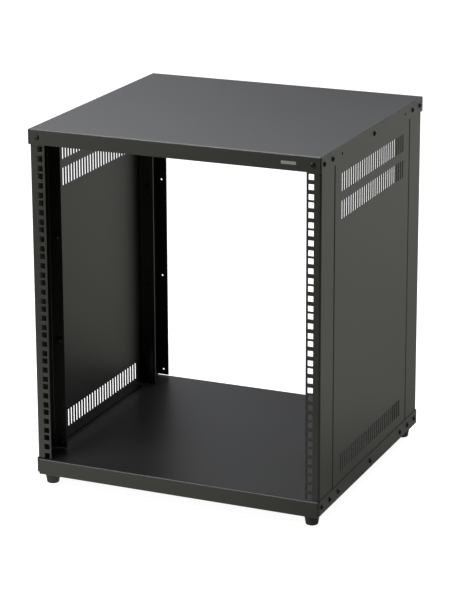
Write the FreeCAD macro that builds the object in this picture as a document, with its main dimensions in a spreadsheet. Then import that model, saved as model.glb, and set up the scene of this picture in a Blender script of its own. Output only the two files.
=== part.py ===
import FreeCAD, Part
import Sketcher
import os

# Equipment rack, twelve units high, for equipment with 19 inch front panels.
# Folded sheet steel: four channel posts, two vented side panels, a top cover,
# a base tray between two sills, and four rubber feet. Open at front and back.
# Millimetres. +Z is up, the front faces -Y, and the origin is on the floor
# below the middle of the rack.

SIZES = [
    # Mounting space
    ("rack_units", 12, "height of the mounting space in rack units"),
    ("unit_height", 44.45, "height of one rack unit"),
    ("opening_width", 450, "clear width between the mounting flanges"),
    ("hole_column_inset", 7.55, "edge of a mounting flange to the square holes"),
    ("first_hole_rise", 6.35, "bottom of a unit to its lowest hole"),
    ("hole_step", 15.875, "between the three holes of one unit"),
    ("square_hole", 9.5, "side of a square mounting hole"),
    # Body
    ("flange_width", 24.5, "width of a mounting flange"),
    ("body_depth", 461, "front mounting face to rear flange face"),
    # Posts
    ("post_sheet", 2.3, "sheet thickness of the posts"),
    ("post_web_depth", 57.5, "depth of a post along the side"),
    ("post_return_width", 24.5, "width of the inner flange of a post"),
    ("post_bend_radius", 3.2, "outer bend radius of the posts"),
    ("flange_floor_gap", 2, "floor to the lower end of the flanges"),
    ("rear_hole_diameter", 3.6, "open holes in the rear flanges"),
    ("rear_hole_step", 178.2, "between the open holes of a rear flange"),
    ("rear_hole_count", 3, "open holes in a rear flange"),
    ("screw_column_inset", 9.5, "edge of a rear flange to its open holes"),
    ("screw_line_drop", 13.2, "top of the cover to its row of screws"),
    # Side panels
    ("panel_sheet", 1.2, "sheet thickness of the side panels"),
    ("panel_return_width", 21.5, "width of the folded panel edges"),
    ("panel_bend_radius", 2.2, "outer bend radius of the panels"),
    ("seam_gap", 0.7, "between a panel and the posts beside it"),
    ("vent_width", 5, "width of a vent slot"),
    ("vent_height", 30, "height of a vent slot"),
    ("vent_step", 10, "between vent slots of a row"),
    ("vent_margin", 29, "end of a panel to its row of slots, at least"),
    ("vent_top_drop", 33.9, "top of the mounting space to the first row"),
    ("vent_row_step", 44.7, "between the two upper rows"),
    ("vent_low_rise", 34.5, "floor to the middle of the lowest row"),
    # Top cover
    ("cover_sheet", 1.6, "sheet thickness of the top cover"),
    ("cover_head", 26.6, "top of the mounting space to top of the cover"),
    ("cover_flange", 25.4, "height of the flanges of the cover"),
    ("cover_bend_radius", 2.4, "outer bend radius of the cover"),
    ("corner_gap", 0.8, "open seam at the corners of the cover"),
    ("lip_overhang", 2.6, "front mounting face to the face of the lips"),
    ("open_hole_inset", 84, "front and rear face to an open cover hole"),
    ("open_hole_diameter", 5, "open holes in the sides of the cover"),
    # Base tray
    ("tray_sheet", 2, "sheet thickness of the base tray"),
    ("tray_lip", 27.3, "height of the front and rear lips"),
    ("tray_return", 34, "depth of the folded edge under a lip"),
    ("tray_bend_radius", 2.4, "outer bend radius of the tray"),
    ("tray_side_gap", 0.3, "between the tray and the posts beside it"),
    # Base sills
    ("sill_sheet", 1, "sheet thickness of the sills"),
    ("sill_height", 24.5, "height of the sills"),
    ("sill_rise", 1.5, "floor to the upper edge of the sills"),
    ("sill_leg", 20, "width of the leg under posts and panels"),
    ("sill_overhang", 2.2, "post face to the end of a sill"),
    ("sill_tab", 3.2, "width of the folded ends of a sill"),
    ("sill_bend_radius", 1.6, "outer bend radius of the sills"),
    # Feet
    ("foot_height", 17, "height of a foot"),
    ("foot_top_diameter", 25.6, "diameter of a foot at the tray"),
    ("foot_base_diameter", 20, "diameter of a foot at the floor"),
    ("foot_inset_side", 18.5, "post face to the middle of a foot"),
    ("foot_inset_end", 16, "mounting face to the middle of a foot"),
]

doc = FreeCAD.newDocument("EquipmentRack")
sheet = doc.addObject("Spreadsheet::Sheet", "Sizes")
for row, (alias, value, meaning) in enumerate(SIZES, start=1):
    sheet.set(f"A{row}", meaning)
    sheet.set(f"B{row}", str(value))
    sheet.setAlias(f"B{row}", alias)
doc.recompute()

# Places that several pieces share, as expressions of the sizes.
HALF_WIDTH = "(Sizes.opening_width / 2 + Sizes.flange_width)"
HOLE_COLUMN = "(Sizes.opening_width / 2 + Sizes.hole_column_inset)"
SCREW_COLUMN = "(Sizes.opening_width / 2 + Sizes.screw_column_inset)"
HALF_DEPTH = "(Sizes.body_depth / 2)"
LIP_FACE = f"({HALF_DEPTH} + Sizes.lip_overhang)"
TRAY_HALF = f"({HALF_WIDTH} - Sizes.post_sheet - Sizes.tray_side_gap)"
FLOOR = "(Sizes.foot_height + Sizes.tray_lip)"
BAY_TOP = f"({FLOOR} + Sizes.rack_units * Sizes.unit_height)"
COVER_TOP = f"({BAY_TOP} + Sizes.cover_head)"
COVER_UNDERSIDE = f"({COVER_TOP} - Sizes.cover_sheet)"
SCREW_LINE = f"({COVER_TOP} - Sizes.screw_line_drop)"
SILL_TOP = f"({FLOOR} + Sizes.sill_rise)"
SILL_BOTTOM = f"({SILL_TOP} - Sizes.sill_height)"
LEG_TOP = f"({SILL_BOTTOM} + Sizes.sill_sheet)"
FLANGE_BOTTOM = f"({FLOOR} + Sizes.flange_floor_gap)"
PANEL_END = f"({HALF_DEPTH} - Sizes.post_web_depth - Sizes.seam_gap)"
VENT_STEPS = f"floor(2 * ({PANEL_END} - Sizes.vent_margin) / Sizes.vent_step)"

SIDES = {"left": -1, "right": 1}
ENDS = {"front": -1, "rear": 1}
HOLES_PER_UNIT = 3
SAME_PLACE = 1e-4


def number(expression):
    """The present value of an expression of the sizes."""
    value = sheet.evalExpression(expression)
    return float(getattr(value, "Value", value))


def new_body(label):
    body = doc.addObject("PartDesign::Body", label)
    body.Label = label
    return body


def origin_feature(body, role):
    return next(item for item in body.Origin.OriginFeatures if item.Role == role)


def new_sketch(body, name, plane, height=None):
    """A sketch on an origin plane, or on a parallel plane at a height above it."""
    sketch = body.newObject("Sketcher::SketchObject", name)
    sketch.AttachmentSupport = (origin_feature(body, plane), [""])
    sketch.MapMode = "FlatFace"
    if height is not None:
        sketch.setExpression("AttachmentOffset.Base.z", height)
    return sketch


def bind(sketch, size, *details):
    """Add a constraint whose value follows an expression of the sizes."""
    index = sketch.addConstraint(Sketcher.Constraint(*details, number(size)))
    sketch.setExpression(f"Constraints[{index}]", size)


def fix_point(sketch, shape, place, x, y):
    """Hold one point of a line or circle at two expressions of the sizes."""
    for kind, axis, size in (("DistanceX", -2, x), ("DistanceY", -1, y)):
        if size == "0":
            sketch.addConstraint(Sketcher.Constraint("PointOnObject", shape, place, axis))
        else:
            bind(sketch, size, kind, -1, 1, shape, place)


def add_outline(sketch, corners):
    """A closed outline of straight lines through the given corners."""
    points = [FreeCAD.Vector(number(x), number(y), 0) for x, y in corners]
    first = sketch.GeometryCount
    for start, stop in zip(points, points[1:] + points[:1]):
        sketch.addGeometry(Part.LineSegment(start, stop), False)
    lines = list(range(first, first + len(points)))
    for line, following in zip(lines, lines[1:] + lines[:1]):
        sketch.addConstraint(Sketcher.Constraint("Coincident", line, 2, following, 1))
    for line, (x, y) in zip(lines, corners):
        fix_point(sketch, line, 1, x, y)


def add_rectangle(sketch, x_low, x_high, y_low, y_high):
    add_outline(sketch, [(x_low, y_low), (x_high, y_low), (x_high, y_high), (x_low, y_high)])


def add_circle(sketch, x, y, diameter):
    centre = FreeCAD.Vector(number(x), number(y), 0)
    circle = sketch.addGeometry(Part.Circle(centre, FreeCAD.Vector(0, 0, 1), number(diameter) / 2))
    fix_point(sketch, circle, 3, x, y)
    bind(sketch, diameter, "Diameter", circle)


def add_pad(body, name, sketch, length, symmetric=False):
    pad = body.newObject("PartDesign::Pad", name)
    pad.Profile = sketch
    pad.setExpression("Length", length)
    if symmetric:
        pad.SideType = "Symmetric"
    doc.recompute()
    return pad


def add_pocket(body, name, sketch, length=None, backwards=False):
    """Cut to a depth, or through everything both ways where no depth is given."""
    pocket = body.newObject("PartDesign::Pocket", name)
    pocket.Profile = sketch
    if length is None:
        pocket.Type = "ThroughAll"
        pocket.SideType = "Symmetric"
    else:
        pocket.setExpression("Length", length)
        pocket.Reversed = backwards
    doc.recompute()
    return pocket


def repeat(body, name, features, axis, pitch, count):
    pattern = body.newObject("PartDesign::LinearPattern", name)
    pattern.Originals = features
    pattern.Direction = (origin_feature(body, axis), [""])
    pattern.Mode = "Spacing"
    pattern.setExpression("Offset", pitch)
    pattern.setExpression("Occurrences", count)
    body.Tip = pattern
    doc.recompute()
    return pattern


def fold(body, name, base, along, bends, radius):
    """Round the edges that run along an axis through the given places.

    A bend is a pair of expressions: its places on the other two axes, in order.
    """
    others = [axis for axis in "xyz" if axis != along]
    targets = [(number(first), number(second)) for first, second in bends]
    names = []
    for index, edge in enumerate(base.Shape.Edges, start=1):
        ends = [vertex.Point for vertex in edge.Vertexes]
        for target in targets:
            gaps = [abs(getattr(end, axis) - place)
                    for end in ends for axis, place in zip(others, target)]
            if len(ends) == 2 and max(gaps) < SAME_PLACE:
                names.append(f"Edge{index}")
                break
    fillet = body.newObject("PartDesign::Fillet", name)
    fillet.Base = (base, names)
    fillet.setExpression("Radius", radius)
    doc.recompute()
    return fillet


def times(sign, expression):
    return f"{sign} * {expression}"


def make_post(side_name, end_name):
    """A channel post: web to the side, mounting flange outward, return inward."""
    side = SIDES[side_name]
    end = ENDS[end_name]
    body = new_body(f"{end_name}_{side_name}_post")
    outer = times(side, HALF_WIDTH)
    web_inner = times(side, f"({HALF_WIDTH} - Sizes.post_sheet)")
    flange_edge = times(side, "Sizes.opening_width / 2")
    return_edge = times(side, f"({HALF_WIDTH} - Sizes.post_return_width)")
    face = times(end, HALF_DEPTH)
    face_inner = times(end, f"({HALF_DEPTH} - Sizes.post_sheet)")
    back = times(end, f"({HALF_DEPTH} - Sizes.post_web_depth)")
    back_inner = times(end, f"({HALF_DEPTH} - Sizes.post_web_depth + Sizes.post_sheet)")

    profile = new_sketch(body, "ChannelSketch", "XY_Plane", FLANGE_BOTTOM)
    add_outline(profile, [
        (flange_edge, face), (outer, face), (outer, back), (return_edge, back),
        (return_edge, back_inner), (web_inner, back_inner),
        (web_inner, face_inner), (flange_edge, face_inner)])
    channel = add_pad(body, "Channel", profile, f"{COVER_UNDERSIDE} - {FLANGE_BOTTOM}")
    outside = fold(body, "OuterBends", channel, "z",
                   [(outer, face), (outer, back)], "Sizes.post_bend_radius")
    fold(body, "InnerBends", outside, "z",
         [(web_inner, face_inner), (web_inner, back_inner)],
         "Sizes.post_bend_radius - Sizes.post_sheet")

    tongue = new_sketch(body, "TongueSketch", "XY_Plane", LEG_TOP)
    tongue_edges = [times(end, f"({HALF_DEPTH} - Sizes.post_bend_radius)"),
                    times(end, f"({HALF_DEPTH} - Sizes.post_web_depth + Sizes.post_bend_radius)")]
    add_rectangle(tongue, web_inner, outer, tongue_edges[0], tongue_edges[1])
    add_pad(body, "Tongue", tongue, f"{FLANGE_BOTTOM} - {LEG_TOP}")

    through_flange = "2 * Sizes.post_sheet"
    holes = new_sketch(body, "HoleSketch", "XZ_Plane", times(-end, HALF_DEPTH))
    if end_name == "front":
        column = times(side, HOLE_COLUMN)
        for step in range(HOLES_PER_UNIT):
            level = f"{FLOOR} + Sizes.first_hole_rise + {step} * Sizes.hole_step"
            add_rectangle(holes,
                          f"{column} - Sizes.square_hole / 2", f"{column} + Sizes.square_hole / 2",
                          f"{level} - Sizes.square_hole / 2", f"{level} + Sizes.square_hole / 2")
        unit_holes = add_pocket(body, "UnitHoles", holes, through_flange)
        repeat(body, "MountingHoles", [unit_holes], "Z_Axis",
               "Sizes.unit_height", "Sizes.rack_units")
    else:
        lowest = f"{SCREW_LINE} - Sizes.rear_hole_count * Sizes.rear_hole_step"
        add_circle(holes, times(side, SCREW_COLUMN), lowest,
                   "Sizes.rear_hole_diameter")
        first_hole = add_pocket(body, "FirstHole", holes, through_flange, backwards=True)
        repeat(body, "RearHoles", [first_hole], "Z_Axis",
               "Sizes.rear_hole_step", "Sizes.rear_hole_count")
    return body


def make_side_panel(side_name):
    """A flat panel with folded upright edges and three rows of vent slots."""
    side = SIDES[side_name]
    body = new_body(f"{side_name}_side_panel")
    outer = times(side, HALF_WIDTH)
    inner = times(side, f"({HALF_WIDTH} - Sizes.panel_sheet)")
    edge = times(side, f"({HALF_WIDTH} - Sizes.panel_return_width)")
    front = f"-{PANEL_END}"
    front_inner = f"-({PANEL_END} - Sizes.panel_sheet)"
    rear = PANEL_END
    rear_inner = f"({PANEL_END} - Sizes.panel_sheet)"

    profile = new_sketch(body, "PanelSketch", "XY_Plane", FLANGE_BOTTOM)
    add_outline(profile, [
        (edge, front), (outer, front), (outer, rear), (edge, rear),
        (edge, rear_inner), (inner, rear_inner), (inner, front_inner), (edge, front_inner)])
    skin = add_pad(body, "Skin", profile, f"{COVER_UNDERSIDE} - {FLANGE_BOTTOM}")
    outside = fold(body, "OuterBends", skin, "z",
                   [(outer, front), (outer, rear)], "Sizes.panel_bend_radius")
    fold(body, "InnerBends", outside, "z",
         [(inner, front_inner), (inner, rear_inner)],
         "Sizes.panel_bend_radius - Sizes.panel_sheet")

    lower_edge = new_sketch(body, "LowerEdgeSketch", "XY_Plane", LEG_TOP)
    add_rectangle(lower_edge, inner, outer,
                  f"-({PANEL_END} - Sizes.panel_bend_radius)",
                  f"({PANEL_END} - Sizes.panel_bend_radius)")
    add_pad(body, "LowerEdge", lower_edge, f"{FLANGE_BOTTOM} - {LEG_TOP}")

    vents = new_sketch(body, "VentSketch", "YZ_Plane")
    first = f"-{VENT_STEPS} / 2 * Sizes.vent_step"
    rows = [f"{BAY_TOP} - Sizes.vent_top_drop",
            f"{BAY_TOP} - Sizes.vent_top_drop - Sizes.vent_row_step",
            f"{FLOOR} + Sizes.vent_low_rise"]
    for middle in rows:
        add_rectangle(vents,
                      f"{first} - Sizes.vent_width / 2", f"{first} + Sizes.vent_width / 2",
                      f"{middle} - Sizes.vent_height / 2", f"{middle} + Sizes.vent_height / 2")
    first_vents = add_pocket(body, "FirstVents", vents)
    repeat(body, "Vents", [first_vents], "Y_Axis", "Sizes.vent_step", f"{VENT_STEPS} + 1")
    return body


def make_top_cover():
    """A shallow cover folded down on all four sides, open along its corners."""
    body = new_body("top_cover")
    side_outer = f"({HALF_WIDTH} + Sizes.cover_sheet)"
    lip_inner = f"({LIP_FACE} - Sizes.cover_sheet)"
    block_sketch = new_sketch(body, "CoverSketch", "XY_Plane",
                              f"{COVER_TOP} - Sizes.cover_flange")
    add_rectangle(block_sketch, f"-{side_outer}", side_outer, f"-{LIP_FACE}", LIP_FACE)
    block = add_pad(body, "Block", block_sketch, "Sizes.cover_flange")
    fold(body, "SideBends", block, "y",
         [(f"-{side_outer}", COVER_TOP), (side_outer, COVER_TOP)],
         "Sizes.cover_bend_radius")

    cavity_sketch = new_sketch(body, "CavitySketch", "XY_Plane",
                               f"{COVER_TOP} - Sizes.cover_flange")
    add_rectangle(cavity_sketch, f"-{HALF_WIDTH}", HALF_WIDTH, f"-{lip_inner}", lip_inner)
    add_pocket(body, "Cavity", cavity_sketch,
               "Sizes.cover_flange - Sizes.cover_sheet", backwards=True)

    seams = new_sketch(body, "CornerSeamSketch", "XY_Plane")
    seam_end = f"({LIP_FACE} - 2 * Sizes.cover_sheet)"
    for side in SIDES.values():
        for end in ENDS.values():
            add_rectangle(seams, times(side, f"({HALF_WIDTH} - Sizes.corner_gap)"),
                          times(side, HALF_WIDTH), times(end, seam_end), times(end, LIP_FACE))
    open_corners = add_pocket(body, "CornerSeams", seams)
    fold(body, "EndBends", open_corners, "x",
         [(f"-{LIP_FACE}", COVER_TOP), (LIP_FACE, COVER_TOP)],
         "Sizes.cover_bend_radius")

    holes = new_sketch(body, "OpenHoleSketch", "YZ_Plane")
    for end in ENDS.values():
        add_circle(holes, times(end, f"({HALF_DEPTH} - Sizes.open_hole_inset)"),
                   SCREW_LINE, "Sizes.open_hole_diameter")
    add_pocket(body, "OpenHoles", holes)
    return body


def make_base_tray():
    """The floor, folded down into lips and under them, with flanges at the sides."""
    body = new_body("base_tray")
    floor_under = f"({FLOOR} - Sizes.tray_sheet)"
    bottom = "Sizes.foot_height"
    bottom_inner = "(Sizes.foot_height + Sizes.tray_sheet)"
    lip_inner = f"({LIP_FACE} - Sizes.tray_sheet)"
    return_edge = f"({LIP_FACE} - Sizes.tray_return)"
    profile = new_sketch(body, "TraySketch", "YZ_Plane")
    add_outline(profile, [
        (f"-{LIP_FACE}", FLOOR), (LIP_FACE, FLOOR), (LIP_FACE, bottom),
        (return_edge, bottom), (return_edge, bottom_inner), (lip_inner, bottom_inner),
        (lip_inner, floor_under), (f"-{lip_inner}", floor_under),
        (f"-{lip_inner}", bottom_inner), (f"-{return_edge}", bottom_inner),
        (f"-{return_edge}", bottom), (f"-{LIP_FACE}", bottom)])
    tray = add_pad(body, "Tray", profile, f"2 * {TRAY_HALF}", symmetric=True)
    outside = fold(body, "OuterBends", tray, "x",
                   [(f"-{LIP_FACE}", FLOOR), (LIP_FACE, FLOOR),
                    (f"-{LIP_FACE}", bottom), (LIP_FACE, bottom)],
                   "Sizes.tray_bend_radius")
    fold(body, "InnerBends", outside, "x",
         [(f"-{lip_inner}", floor_under), (lip_inner, floor_under),
          (f"-{lip_inner}", bottom_inner), (lip_inner, bottom_inner)],
         "Sizes.tray_bend_radius - Sizes.tray_sheet")
    flanges = new_sketch(body, "SideFlangeSketch", "XY_Plane", LEG_TOP)
    for side in SIDES.values():
        add_rectangle(flanges, times(side, TRAY_HALF),
                      times(side, f"({TRAY_HALF} - Sizes.tray_sheet)"),
                      f"-({HALF_DEPTH} - Sizes.post_bend_radius)",
                      f"({HALF_DEPTH} - Sizes.post_bend_radius)")
    add_pad(body, "SideFlanges", flanges, f"{floor_under} - {LEG_TOP}")
    return body


def make_base_sill(side_name):
    """An angle along one side: skin outside, leg below, ends folded in."""
    side = SIDES[side_name]
    body = new_body(f"{side_name}_base_sill")
    outer = times(side, f"({HALF_WIDTH} + Sizes.sill_sheet)")
    inner = times(side, HALF_WIDTH)
    tab_edge = times(side, f"({HALF_WIDTH} + Sizes.sill_sheet - Sizes.sill_tab)")
    tip = f"({HALF_DEPTH} + Sizes.sill_overhang)"
    tip_inner = f"({HALF_DEPTH} + Sizes.sill_overhang - Sizes.sill_sheet)"
    profile = new_sketch(body, "SillSketch", "XY_Plane", SILL_BOTTOM)
    add_outline(profile, [
        (tab_edge, f"-{tip}"), (outer, f"-{tip}"), (outer, tip), (tab_edge, tip),
        (tab_edge, tip_inner), (inner, tip_inner),
        (inner, f"-{tip_inner}"), (tab_edge, f"-{tip_inner}")])
    skin = add_pad(body, "Skin", profile, "Sizes.sill_height")
    outside = fold(body, "OuterBends", skin, "z",
                   [(outer, f"-{tip}"), (outer, tip)], "Sizes.sill_bend_radius")
    fold(body, "InnerBends", outside, "z",
         [(inner, f"-{tip_inner}"), (inner, tip_inner)],
         "Sizes.sill_bend_radius - Sizes.sill_sheet")
    leg = new_sketch(body, "LegSketch", "XY_Plane", SILL_BOTTOM)
    leg_edge = times(side, f"({HALF_WIDTH} + Sizes.sill_sheet - Sizes.sill_leg)")
    leg_outer = times(side, f"({HALF_WIDTH} + Sizes.sill_sheet / 2)")
    add_rectangle(leg, leg_edge, leg_outer, f"-{HALF_DEPTH}", HALF_DEPTH)
    add_pad(body, "Leg", leg, "Sizes.sill_sheet")
    return body


def make_foot(side_name, end_name):
    """A round rubber foot, tapered towards the floor."""
    body = new_body(f"{end_name}_{side_name}_foot")
    body.setExpression("Placement.Base.x",
                       times(SIDES[side_name], f"({HALF_WIDTH} - Sizes.foot_inset_side)"))
    body.setExpression("Placement.Base.y",
                       times(ENDS[end_name], f"({HALF_DEPTH} - Sizes.foot_inset_end)"))
    profile = new_sketch(body, "FootSketch", "XZ_Plane")
    add_outline(profile, [
        ("0", "0"), ("Sizes.foot_base_diameter / 2", "0"),
        ("Sizes.foot_top_diameter / 2", "Sizes.foot_height"), ("0", "Sizes.foot_height")])
    revolution = body.newObject("PartDesign::Revolution", "Rubber")
    revolution.Profile = profile
    revolution.ReferenceAxis = (profile, ["V_Axis"])
    revolution.Angle = 360
    doc.recompute()
    return body


def make_rack():
    pieces = [make_top_cover(), make_base_tray()]
    for side_name in SIDES:
        pieces.append(make_base_sill(side_name))
        pieces.append(make_side_panel(side_name))
        for end_name in ENDS:
            pieces.append(make_post(side_name, end_name))
            pieces.append(make_foot(side_name, end_name))
    return pieces


def export(pieces):
    """Check every object of the document, then write one file for each piece."""
    doc.recompute()
    for item in doc.Objects:
        if "Invalid" in item.State or "Error" in item.State:
            raise RuntimeError(f"{item.Label} failed: {item.State}")
    os.makedirs("parts", exist_ok=True)
    for piece in pieces:
        if piece.Shape.isNull() or not piece.Shape.isValid():
            raise RuntimeError(f"{piece.Label} has no valid shape")
        piece.Shape.exportStep(f"parts/{piece.Label}.step")


export(make_rack())
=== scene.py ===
"""Studio, coat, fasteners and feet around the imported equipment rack."""

import math

import bmesh
import bpy
from mathutils import Matrix, Vector


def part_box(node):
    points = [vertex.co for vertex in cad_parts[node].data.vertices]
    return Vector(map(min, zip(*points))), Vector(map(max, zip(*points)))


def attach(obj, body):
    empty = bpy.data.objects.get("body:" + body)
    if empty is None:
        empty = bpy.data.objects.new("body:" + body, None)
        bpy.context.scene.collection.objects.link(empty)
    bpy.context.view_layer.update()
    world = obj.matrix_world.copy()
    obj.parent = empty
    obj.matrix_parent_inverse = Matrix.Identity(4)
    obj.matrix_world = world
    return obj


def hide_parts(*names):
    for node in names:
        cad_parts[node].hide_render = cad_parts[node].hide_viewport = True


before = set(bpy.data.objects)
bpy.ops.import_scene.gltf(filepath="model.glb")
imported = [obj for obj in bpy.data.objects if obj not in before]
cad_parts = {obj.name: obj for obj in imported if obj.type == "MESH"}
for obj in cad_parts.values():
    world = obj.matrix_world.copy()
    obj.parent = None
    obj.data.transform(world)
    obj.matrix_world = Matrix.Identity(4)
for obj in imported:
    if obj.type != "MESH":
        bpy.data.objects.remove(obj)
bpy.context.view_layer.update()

MM = 0.001

# Camera, in metres and degrees, solved from the photograph. The focal length and
# the long side are in pixels of its frame, and the shift is a share of that side.
CAMERA_PLACE = (1.512944, -3.483899, 1.466023)
CAMERA_AZIMUTH = 23.629
CAMERA_ELEVATION = 15.580
CAMERA_ROLL = -0.251
FOCAL_PIXELS = 2376.932
IMAGE_LONG_SIDE = 600
SENSOR = 36
SHIFT_Y = -0.12
CLIP_END = 50

# Studio, in metres. Each softbox: place, point it faces, width, height,
# brightness, tint.
COOL = (0.985, 1.0, 1.045)
WARM = (1.0, 1.0, 0.85)
SOFTBOXES = {
    "OverheadMid": ((0, 0.6, 2.4), (0, 0.6, 0), 2.6, 1.3, 5.9, COOL),
    "OverheadLeft": ((-1.5, 1.3, 2.1), (0, 0, 0.6), 1.2, 1.4, 1.4, COOL),
    "OverheadBack": ((0, 2.4, 2.2), (0, 0, 0.4), 3.6, 1.4, 0.94, COOL),
    "FrontLeft": ((-1.75, -2.1, 0.8), (0, 0, 0.45), 1.9, 1.2, 1.95, WARM),
    "FrontLeftLow": ((-2.2, -3.4, 0.35), (0, 0, 0.3), 2.6, 0.6, 2.93, WARM),
    "BackLeft": ((-3.0, 2.8, 0.9), (0, 0, 0.5), 3.4, 1.8, 0.2, COOL),
    "BackLeftLow": ((-2.3, 3.3, 0.65), (0, 0, 0.4), 2.0, 0.8, 0.55, COOL),
    "Strip": ((-1.16, -1.64, 2.97), (0, -0.233, 0.604), 1.4, 0.15, 150.0, COOL),
    "BackRightLow": ((1.65, 3.1, 0.7), (0, 0, 0.6), 2.2, 0.5, 2.6, COOL),
}
WORLD_LIGHT = 0.05
FLOOR_REACH = 6
FLOOR_GLOW = 0.95
FLOOR_GREY = 0.35

# Light that the pale floor gives back. It grows from nothing at the front to
# BOUNCE_BACK at the back, and soft patches add to it or take from it. Each patch:
# place, reach, brightness. The sheet has a vertex where the lines cross.
BOUNCE_TINT = (0.98, 1.0, 0.885)
BOUNCE_HEIGHT = -0.001
BOUNCE_X = (-3.0, -1.0, -0.45, 0.0, 0.3, 0.42, 0.9, 3.2)
BOUNCE_Y = (-3.2, -1.1, -0.45, 0.0, 0.42, 1.1, 3.6)
BOUNCE_BACK = 0.45
BOUNCE_PATCHES = (
    ((1.49, 1.88), 2.0, 1.34),
    ((-0.29, -0.38), 0.35, 1.42),
    ((0.19, 0.20), 0.28, -0.70),
    ((0.63, 1.12), 0.36, -1.0),
)

# Where noise is cut off when it drives a range of values or a blend of colours.
NOISE_RANGE = (0.3, 0.7)
BLEND_RANGE = (0.35, 0.65)

# How far the coat rounds each sheet edge, in millimetres.
COAT_EDGE = 0.5
COAT_EDGE_SAMPLES = 6

# Screw heads, in millimetres.
HEAD_RADIUS = 4.5
HEAD_HEIGHT = 2.4
HEAD_WALL = 0.528
HEAD_FLAT = 2.5
HEAD_CURVE_STEPS = 7
RECESS_REACH = 2.2
RECESS_HALF_WIDTH = 0.5
RECESS_BOTTOM_REACH = 1.21
RECESS_BOTTOM_HALF_WIDTH = 0.35
RECESS_DEPTH = 1.5

# Nuts, bolts and washers, in millimetres.
NUT_SIDES = 6
NUT_RADIUS = 4.62
NUT_HEIGHT = 3.2
NUT_CHAMFER = 0.45
BOLT_RADIUS = 2.5
BOLT_END = 1.4
BOLT_CHAMFER = 0.4
BOLT_WASHER_RADIUS = 6.8
WASHER_HEIGHT = 1.0
WASHER_EDGE = 0.25

# Steps of a full circle.
HEAD_ROUND = 32
BOLT_ROUND = 24
FOOT_ROUND = 48

# Where screws and bolts sit, in millimetres, from the edges of the frame.
SCREW_DROP = 13.2
LIP_SCREW_X = 236
COVER_SCREW_Y = (-220, -184.5, 0, 184.5, 220)
SILL_SCREW_Z = 32.9
SILL_SCREW_Y = (-220.3, -185.2, -147.5, 0, 147.5, 185.2, 220.3)
BOLT_INSET = 9.5
BOLT_PITCH = 178.2
POST_SHEET = 2.3
PANEL_SHEET = 1.2

# Turn of each screw, in degrees: the first one, the step and where it repeats.
TURN_FIRST = 11
TURN_STEP = 37
TURN_REPEAT = 90

# Edges with a smaller angle than this are shaded smooth, in degrees.
CREASE_ANGLE = 35

# Feet, in millimetres. The profile is radius and height, from the bore's top.
FOOT_INSET_X = 18.5
FOOT_INSET_Y = 16
FOOT_PROFILE = (
    (2.6, 8.8), (2.6, 17.0), (12.4, 17.0), (12.72, 16.8), (12.75, 16.4),
    (10.18, 1.6), (10.0, 0.9), (9.6, 0.35), (9.0, 0.0), (7.2, 0.0), (6.8, 0.15),
    (6.55, 0.5), (6.0, 8.4), (5.6, 8.8))
FOOT_WASHER_RADIUS = 5.2
FOOT_RECESS = 8.8
TRAY_SHEET = 2
STUD_END = 1.4
STUD_DEPTH = 4.75

# Blank plate on the front lip, in millimetres.
PLATE_X = 196.6
PLATE_SIZE = (25, 5)
PLATE_CORNER = 1
PLATE_CORNER_STEPS = 6
PLATE_THICKNESS = 0.6
PLATE_EDGE = 0.25


def low_corner(node):
    """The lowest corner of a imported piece, in millimetres."""
    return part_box(node)[0] / MM


def high_corner(node):
    """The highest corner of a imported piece, in millimetres."""
    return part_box(node)[1] / MM


# Faces of the frame, in millimetres, and what is placed from them.
COVER_SIDE, LIP_FACE, COVER_TOP = high_corner("top_cover")
SILL_SIDE = high_corner("right_base_sill").x
POST_SIDE, POST_FACE = high_corner("rear_right_post").xy
POST_RETURN_EDGE, POST_RETURN_BACK = low_corner("rear_right_post").xy
POST_RETURN_FACE = POST_RETURN_BACK + POST_SHEET
PANEL_RETURN_FACE = high_corner("right_side_panel").y - PANEL_SHEET
TRAY_RETURN_TOP = low_corner("base_tray").z + TRAY_SHEET
SCREW_LINE = COVER_TOP - SCREW_DROP
BOLT_X = POST_RETURN_EDGE + BOLT_INSET
BOLT_LEVELS = [SCREW_LINE - BOLT_PITCH * step for step in (3, 2, 1)]
FOOT_X = POST_SIDE - FOOT_INSET_X
FOOT_Y = POST_FACE - FOOT_INSET_Y


def make_camera():
    data = bpy.data.cameras.new("Camera")
    data.sensor_fit = "AUTO"
    data.sensor_width = SENSOR
    data.lens = FOCAL_PIXELS / IMAGE_LONG_SIDE * SENSOR
    data.shift_y = SHIFT_Y
    data.clip_end = CLIP_END
    camera = bpy.data.objects.new("Camera", data)
    bpy.context.scene.collection.objects.link(camera)
    azimuth, elevation = math.radians(CAMERA_AZIMUTH), math.radians(CAMERA_ELEVATION)
    back = Vector((math.sin(azimuth) * math.cos(elevation),
                   -math.cos(azimuth) * math.cos(elevation), math.sin(elevation)))
    right = (-back).cross(Vector((0, 0, 1))).normalized()
    up = right.cross(-back)
    roll = math.radians(CAMERA_ROLL)
    turned_right = math.cos(roll) * right + math.sin(roll) * up
    turned_up = -math.sin(roll) * right + math.cos(roll) * up
    rotation = Matrix((turned_right, turned_up, back)).transposed()
    camera.matrix_world = Matrix.Translation(CAMERA_PLACE) @ rotation.to_4x4()
    bpy.context.scene.camera = camera


def make_softbox(name, place, target, width, height, brightness, tint):
    data = bpy.data.lights.new(name, "AREA")
    data.shape = "RECTANGLE"
    data.size = width
    data.size_y = height
    data.energy = brightness * math.pi * width * height
    data.color = tint
    light = bpy.data.objects.new(name, data)
    light.location = place
    light.rotation_euler = (Vector(target) - Vector(place)).to_track_quat("-Z", "Y").to_euler()
    light.visible_camera = False
    bpy.context.scene.collection.objects.link(light)


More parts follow.
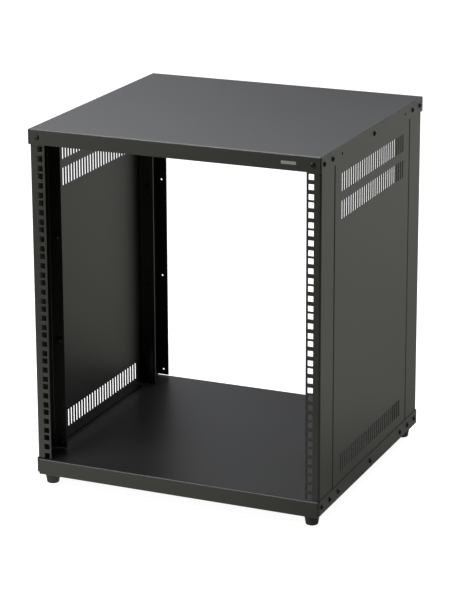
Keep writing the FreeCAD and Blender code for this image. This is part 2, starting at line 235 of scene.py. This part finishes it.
def make_world():
    world = bpy.data.worlds.new("Studio")
    bpy.context.scene.world = world
    world.use_nodes = True
    tree = world.node_tree
    lit = tree.nodes["Background"]
    lit.inputs["Color"].default_value = (1, 1, 1, 1)
    lit.inputs["Strength"].default_value = WORLD_LIGHT
    seen = tree.nodes.new("ShaderNodeBackground")
    seen.inputs["Color"].default_value = (1, 1, 1, 1)
    paths = tree.nodes.new("ShaderNodeLightPath")
    mix = tree.nodes.new("ShaderNodeMixShader")
    tree.links.new(paths.outputs["Is Camera Ray"], mix.inputs["Fac"])
    tree.links.new(lit.outputs[0], mix.inputs[1])
    tree.links.new(seen.outputs[0], mix.inputs[2])
    tree.links.new(mix.outputs[0], tree.nodes["World Output"].inputs["Surface"])


def make_sheet(name, xs, ys, height):
    """A flat staged grid with a vertex at each crossing."""
    mesh = bpy.data.meshes.new(name)
    points = [(x, y, height) for y in ys for x in xs]
    wide = len(xs)
    faces = [(row * wide + column, row * wide + column + 1,
              (row + 1) * wide + column + 1, (row + 1) * wide + column)
             for row in range(len(ys) - 1) for column in range(wide - 1)]
    mesh.from_pydata(points, [], faces)
    sheet = bpy.data.objects.new(name, mesh)
    bpy.context.scene.collection.objects.link(sheet)
    return sheet


def new_material(name):
    material = bpy.data.materials.new(name)
    material.use_nodes = True
    return material, material.node_tree


def make_floor():
    """White floor, which only the camera sees."""
    reach = (-FLOOR_REACH, FLOOR_REACH)
    floor = make_sheet("Floor", reach, reach, 0)
    floor.visible_diffuse = False
    floor.visible_glossy = False
    material, tree = new_material("pale_floor")
    tree.nodes.clear()
    glow = tree.nodes.new("ShaderNodeEmission")
    glow.inputs["Strength"].default_value = FLOOR_GLOW
    paint = tree.nodes.new("ShaderNodeBsdfDiffuse")
    paint.inputs["Color"].default_value = (FLOOR_GREY, FLOOR_GREY, FLOOR_GREY, 1)
    both = tree.nodes.new("ShaderNodeAddShader")
    output = tree.nodes.new("ShaderNodeOutputMaterial")
    tree.links.new(glow.outputs[0], both.inputs[0])
    tree.links.new(paint.outputs[0], both.inputs[1])
    tree.links.new(both.outputs[0], output.inputs["Surface"])
    floor.data.materials.append(material)


def bounce_brightness(x, y):
    brightness = BOUNCE_BACK * (y - BOUNCE_Y[0]) / (BOUNCE_Y[-1] - BOUNCE_Y[0])
    for (patch_x, patch_y), reach, added in BOUNCE_PATCHES:
        distance = math.hypot(x - patch_x, y - patch_y)
        brightness += added * math.exp(-(distance / reach) ** 2)
    return max(brightness, 0)


def make_bounce():
    """The light that the pale floor gives back, which the camera doesn't see."""
    bounce = make_sheet("Bounce", BOUNCE_X, BOUNCE_Y, BOUNCE_HEIGHT)
    bounce.visible_camera = False
    bounce.visible_shadow = False
    brightness = bounce.data.attributes.new("brightness", "FLOAT", "POINT")
    for vertex, item in zip(bounce.data.vertices, brightness.data):
        item.value = bounce_brightness(vertex.co.x, vertex.co.y)
    material, tree = new_material("bounce")
    tree.nodes.clear()
    reading = tree.nodes.new("ShaderNodeAttribute")
    reading.attribute_name = "brightness"
    glow = tree.nodes.new("ShaderNodeEmission")
    output = tree.nodes.new("ShaderNodeOutputMaterial")
    glow.inputs["Color"].default_value = (*BOUNCE_TINT, 1)
    tree.links.new(reading.outputs["Fac"], glow.inputs["Strength"])
    tree.links.new(glow.outputs[0], output.inputs["Surface"])
    bounce.data.materials.append(material)


def add_noise(tree, scale, detail=2, roughness=0.5):
    """Noise over the object. The scale is one value per metre for each axis."""
    place = tree.nodes.new("ShaderNodeTexCoord")
    stretch = tree.nodes.new("ShaderNodeMapping")
    stretch.inputs["Scale"].default_value = scale
    noise = tree.nodes.new("ShaderNodeTexNoise")
    noise.inputs["Scale"].default_value = 1
    noise.inputs["Detail"].default_value = detail
    noise.inputs["Roughness"].default_value = roughness
    tree.links.new(place.outputs["Object"], stretch.inputs["Vector"])
    tree.links.new(stretch.outputs["Vector"], noise.inputs["Vector"])
    return noise.outputs["Fac"]


def spread(tree, source, low, high):
    """Map noise to a range of values."""
    reach = tree.nodes.new("ShaderNodeMapRange")
    reach.inputs["From Min"].default_value = NOISE_RANGE[0]
    reach.inputs["From Max"].default_value = NOISE_RANGE[1]
    reach.inputs["To Min"].default_value = low
    reach.inputs["To Max"].default_value = high
    tree.links.new(source, reach.inputs["Value"])
    return reach.outputs["Result"]


def add_bump(tree, source, strength, distance, below=None):
    """Bump from noise, in millimetres, over the normal of what is below it."""
    bump = tree.nodes.new("ShaderNodeBump")
    bump.inputs["Strength"].default_value = strength
    bump.inputs["Distance"].default_value = distance * MM
    tree.links.new(source, bump.inputs["Height"])
    if below is not None:
        tree.links.new(below, bump.inputs["Normal"])
    return bump.outputs["Normal"]


def blend_colours(tree, source, dark, light):
    """Map noise to a blend of two colours."""
    ramp = tree.nodes.new("ShaderNodeValToRGB")
    for stop, place, colour in zip(ramp.color_ramp.elements, BLEND_RANGE, (dark, light)):
        stop.position = place
        stop.color = (*colour, 1)
    tree.links.new(source, ramp.inputs["Fac"])
    return ramp.outputs["Color"]


def powder_coat():
    """Black satin powder coat: rounded edges, soft orange peel and a fine grain."""
    material, tree = new_material("powder_coat")
    shader = tree.nodes["Principled BSDF"]
    edges = tree.nodes.new("ShaderNodeBevel")
    edges.samples = COAT_EDGE_SAMPLES
    edges.inputs["Radius"].default_value = COAT_EDGE * MM
    peel = add_noise(tree, (260, 260, 260))
    grain = add_noise(tree, (1500, 1500, 1500), detail=3, roughness=0.6)
    cloud = add_noise(tree, (9, 9, 9))
    colour = blend_colours(tree, cloud, dark=(0.0098, 0.0098, 0.0090),
                           light=(0.0112, 0.0112, 0.0104))
    tree.links.new(colour, shader.inputs["Base Color"])
    tree.links.new(spread(tree, grain, low=0.38, high=0.44), shader.inputs["Roughness"])
    waves = add_bump(tree, peel, strength=0.25, distance=0.04, below=edges.outputs["Normal"])
    finish = add_bump(tree, grain, strength=0.3, distance=0.03, below=waves)
    tree.links.new(finish, shader.inputs["Normal"])
    return material


def grained_material(name, metallic, noise, colours, roughness, bump):
    """A material whose colour, roughness and bump follow one noise."""
    material, tree = new_material(name)
    shader = tree.nodes["Principled BSDF"]
    shader.inputs["Metallic"].default_value = metallic
    grain = add_noise(tree, **noise)
    tree.links.new(blend_colours(tree, grain, **colours), shader.inputs["Base Color"])
    tree.links.new(spread(tree, grain, **roughness), shader.inputs["Roughness"])
    tree.links.new(add_bump(tree, grain, **bump), shader.inputs["Normal"])
    return material


def black_oxide():
    """Screws and nuts, blacker and glossier than the coat."""
    return grained_material(
        "black_oxide",
        metallic=0.6,
        noise={"scale": (700, 700, 700), "detail": 3},
        colours={"dark": (0.014, 0.014, 0.014), "light": (0.034, 0.033, 0.032)},
        roughness={"low": 0.2, "high": 0.32},
        bump={"strength": 0.2, "distance": 0.02})


def moulded_rubber():
    """Matt black rubber with a fine speckle."""
    return grained_material(
        "moulded_rubber",
        metallic=0,
        noise={"scale": (1100, 1100, 1100), "detail": 4, "roughness": 0.65},
        colours={"dark": (0.011, 0.011, 0.011), "light": (0.019, 0.019, 0.018)},
        roughness={"low": 0.62, "high": 0.82},
        bump={"strength": 0.35, "distance": 0.06})


def brushed_plate():
    """Light grey satin plate with a faint grain along its length."""
    return grained_material(
        "brushed_plate",
        metallic=0.2,
        noise={"scale": (6, 6, 1500), "detail": 3},
        colours={"dark": (0.235, 0.233, 0.215), "light": (0.250, 0.248, 0.230)},
        roughness={"low": 0.5, "high": 0.56},
        bump={"strength": 0.1, "distance": 0.01})


def add_loop(mesh, points):
    """A closed loop of edges through the points."""
    verts = [mesh.verts.new(point) for point in points]
    for first, second in zip(verts, verts[1:] + verts[:1]):
        mesh.edges.new((first, second))
    return verts


def join_loops(mesh, loops):
    """Faces from each loop to the next one."""
    for lower, upper in zip(loops, loops[1:]):
        for index in range(len(lower)):
            after = (index + 1) % len(lower)
            mesh.faces.new((lower[index], lower[after], upper[after], upper[index]))


def fill_between(mesh, outer, inner):
    """A flat face that faces up, between two loops."""
    rim = [mesh.edges.get(pair) for loop in (outer, inner)
           for pair in zip(loop, loop[1:] + loop[:1])]
    bmesh.ops.triangle_fill(mesh, use_beauty=True, edges=rim, normal=(0, 0, 1))


def circle(radius, height, count):
    """Points of a circle, in equal steps."""
    return [(radius * math.cos(2 * math.pi * step / count),
             radius * math.sin(2 * math.pi * step / count), height) for step in range(count)]


def cross(reach, half_width, height):
    """Outline of a cross recess, a quarter at a time."""
    quarter = [(reach, -half_width), (reach, half_width), (half_width, half_width)]
    points = []
    for turn in range(4):
        cosine = round(math.cos(turn * math.pi / 2))
        sine = round(math.sin(turn * math.pi / 2))
        points += [(x * cosine - y * sine, x * sine + y * cosine, height) for x, y in quarter]
    return points


def build_screw_head(mesh):
    """A pan head on z = 0 with a cross recess."""
    rings = [(HEAD_RADIUS, 0), (HEAD_RADIUS, HEAD_WALL)]
    for step in range(1, HEAD_CURVE_STEPS + 1):
        angle = step / HEAD_CURVE_STEPS * math.pi / 2
        rings.append((HEAD_FLAT + (HEAD_RADIUS - HEAD_FLAT) * math.cos(angle),
                      HEAD_WALL + (HEAD_HEIGHT - HEAD_WALL) * math.sin(angle)))
    loops = [add_loop(mesh, circle(radius, height, HEAD_ROUND)) for radius, height in rings]
    join_loops(mesh, loops)
    mesh.faces.new(list(reversed(loops[0])))
    mouth = add_loop(mesh, cross(RECESS_REACH, RECESS_HALF_WIDTH, HEAD_HEIGHT))
    bottom = add_loop(mesh, cross(RECESS_BOTTOM_REACH, RECESS_BOTTOM_HALF_WIDTH,
                                  HEAD_HEIGHT - RECESS_DEPTH))
    join_loops(mesh, (bottom, mouth))
    mesh.faces.new(bottom)
    fill_between(mesh, loops[-1], mouth)


def build_nut(mesh):
    """A hexagon nut on z = 0 with the bolt's end in it."""
    inner_radius = NUT_RADIUS * math.cos(math.pi / NUT_SIDES)
    low = add_loop(mesh, circle(NUT_RADIUS, 0, NUT_SIDES))
    shoulder = add_loop(mesh, circle(NUT_RADIUS, NUT_HEIGHT - NUT_CHAMFER, NUT_SIDES))
    top = add_loop(mesh, circle(inner_radius, NUT_HEIGHT, NUT_SIDES))
    join_loops(mesh, (low, shoulder, top))
    mesh.faces.new(list(reversed(low)))
    bolt_top = NUT_HEIGHT + BOLT_END
    thread = add_loop(mesh, circle(BOLT_RADIUS, NUT_HEIGHT, BOLT_ROUND))
    end = add_loop(mesh, circle(BOLT_RADIUS, bolt_top - BOLT_CHAMFER, BOLT_ROUND))
    tip = add_loop(mesh, circle(BOLT_RADIUS - BOLT_CHAMFER, bolt_top, BOLT_ROUND))
    join_loops(mesh, (thread, end, tip))
    mesh.faces.new(tip)
    fill_between(mesh, top, thread)


def build_washer(mesh, radius):
    """A washer on z = 0 with a softened rim."""
    low = add_loop(mesh, circle(radius, 0, HEAD_ROUND))
    high = add_loop(mesh, circle(radius, WASHER_HEIGHT - WASHER_EDGE, HEAD_ROUND))
    top = add_loop(mesh, circle(radius - WASHER_EDGE, WASHER_HEIGHT, HEAD_ROUND))
    join_loops(mesh, (low, high, top))
    mesh.faces.new(list(reversed(low)))
    mesh.faces.new(top)


def build_stud(mesh):
    """The end of a foot's screw, above z = 0 and down into the foot."""
    low = add_loop(mesh, circle(BOLT_RADIUS, -STUD_DEPTH, BOLT_ROUND))
    high = add_loop(mesh, circle(BOLT_RADIUS, STUD_END - BOLT_CHAMFER, BOLT_ROUND))
    tip = add_loop(mesh, circle(BOLT_RADIUS - BOLT_CHAMFER, STUD_END, BOLT_ROUND))
    join_loops(mesh, (low, high, tip))
    mesh.faces.new(list(reversed(low)))
    mesh.faces.new(tip)


def build_foot(mesh):
    """A ring of rubber turned from the foot's profile."""
    loops = [add_loop(mesh, circle(radius, height, FOOT_ROUND))
             for radius, height in FOOT_PROFILE]
    join_loops(mesh, loops + loops[:1])


def build_plate(mesh):
    """A plate on z = 0 with rounded corners and a softened edge."""
    corner_x, corner_y = PLATE_SIZE[0] / 2 - PLATE_CORNER, PLATE_SIZE[1] / 2 - PLATE_CORNER

    def outline(inset, height):
        radius = PLATE_CORNER - inset
        points = []
        for quarter, (sign_x, sign_y) in enumerate(((1, 1), (-1, 1), (-1, -1), (1, -1))):
            for step in range(PLATE_CORNER_STEPS + 1):
                angle = (quarter + step / PLATE_CORNER_STEPS) * math.pi / 2
                points.append((sign_x * corner_x + radius * math.cos(angle),
                               sign_y * corner_y + radius * math.sin(angle), height))
        return points

    back = add_loop(mesh, outline(0, 0))
    side = add_loop(mesh, outline(0, PLATE_THICKNESS - PLATE_EDGE))
    front = add_loop(mesh, outline(PLATE_EDGE, PLATE_THICKNESS))
    join_loops(mesh, (back, side, front))
    mesh.faces.new(list(reversed(back)))
    mesh.faces.new(front)


def finish_shape(mesh):
    """Outward normals, smooth curves and crisp edges."""
    bmesh.ops.recalc_face_normals(mesh, faces=mesh.faces)
    limit = math.radians(CREASE_ANGLE)
    for face in mesh.faces:
        face.smooth = True
    for edge in mesh.edges:
        edge.smooth = len(edge.link_faces) == 2 and edge.calc_face_angle(0) < limit


def new_shape(build, *sizes):
    """The mesh that a build function makes, in millimetres."""
    mesh = bmesh.new()
    build(mesh, *sizes)
    finish_shape(mesh)
    shape = bpy.data.meshes.new("shape")
    mesh.to_mesh(shape)
    mesh.free()
    return shape


def make_piece(name, placed, material):
    """One piece from shapes in millimetres, each with its place, facing and turn."""
    mesh = bmesh.new()
    for shape, place, facing, turn in placed:
        start = len(mesh.verts)
        mesh.from_mesh(shape)
        mesh.verts.ensure_lookup_table()
        rotation = Vector(facing).to_track_quat("Z", "Y").to_matrix()
        spin = Matrix.Rotation(math.radians(turn), 3, "Z")
        for vert in mesh.verts[start:]:
            vert.co = (rotation @ (spin @ vert.co) + Vector(place)) * MM
    data = bpy.data.meshes.new(name)
    mesh.to_mesh(data)
    mesh.free()
    data.materials.append(material)
    piece = bpy.data.objects.new(name, data)
    bpy.context.scene.collection.objects.link(piece)
    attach(piece, "root")
    return piece


def turned(index):
    """Each screw stops at its own angle."""
    return (index * TURN_STEP + TURN_FIRST) % TURN_REPEAT


def with_turns(placed):
    """The placed shapes, each with a turn of its own."""
    return [(*item, turned(index)) for index, item in enumerate(placed)]


def make_fasteners(metal):
    """Screws of the cover and sills, and the bolts that join posts and panels."""
    head = new_shape(build_screw_head)
    washer = new_shape(build_washer, BOLT_WASHER_RADIUS)
    nut = new_shape(build_nut)
    screws = [(head, (side * COVER_SIDE, y, SCREW_LINE), (side, 0, 0))
              for side in (-1, 1) for y in COVER_SCREW_Y]
    screws += [(head, (side * LIP_SCREW_X, end * LIP_FACE, SCREW_LINE), (0, end, 0))
               for end in (-1, 1) for side in (-1, 1)]
    make_piece("cover_screws", with_turns(screws), metal)
    screws = [(head, (side * SILL_SIDE, y, SILL_SCREW_Z), (side, 0, 0))
              for side in (-1, 1) for y in SILL_SCREW_Y]
    make_piece("base_screws", with_turns(screws), metal)
    places = [(side * BOLT_X, end, z) for end in (-1, 1) for side in (-1, 1)
              for z in BOLT_LEVELS]
    bolts = [(washer, (x, end * POST_RETURN_FACE, z), (0, end, 0)) for x, end, z in places]
    bolts += [(head, (x, end * (POST_RETURN_FACE + WASHER_HEIGHT), z), (0, end, 0))
              for x, end, z in places]
    make_piece("post_bolts", with_turns(bolts), metal)
    nuts = [(nut, (x, end * PANEL_RETURN_FACE, z), (0, -end, 0)) for x, end, z in places]
    make_piece("post_nuts", with_turns(nuts), metal)


def make_feet(rubber, metal):
    """Four rubber feet in place of the plain ones, each with its screw."""
    foot = new_shape(build_foot)
    head = new_shape(build_screw_head)
    stud = new_shape(build_stud)
    washer = new_shape(build_washer, FOOT_WASHER_RADIUS)
    for end_name, end in (("front", -1), ("rear", 1)):
        for side_name, side in (("left", -1), ("right", 1)):
            x, y = side * FOOT_X, end * FOOT_Y
            name = f"{end_name}_{side_name}_foot"
            piece = make_piece(f"{name}_rubber", [(foot, (x, y, 0), (0, 0, 1), 0)],
                               rubber)
            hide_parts(name)
            fixing = [(washer, (x, y, FOOT_RECESS), (0, 0, -1), 0),
                      (head, (x, y, FOOT_RECESS - WASHER_HEIGHT), (0, 0, -1), turned(side + end)),
                      (stud, (x, y, TRAY_RETURN_TOP), (0, 0, 1), 0)]
            make_piece(f"{name}_screw", fixing, metal)


def make_plate(satin):
    place = (PLATE_X, -LIP_FACE, SCREW_LINE)
    make_piece("blank_plate", [(new_shape(build_plate), place, (0, -1, 0), 0)],
               satin)


def coat_frame(coat):
    """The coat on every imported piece."""
    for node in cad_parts.values():
        for slot in node.material_slots:
            slot.material = coat


make_camera()
make_world()
bpy.context.scene.view_settings.view_transform = "Standard"
for name, settings in SOFTBOXES.items():
    make_softbox(name, *settings)
make_floor()
make_bounce()
oxide = black_oxide()
coat_frame(powder_coat())
make_fasteners(oxide)
make_feet(moulded_rubber(), oxide)
make_plate(brushed_plate())
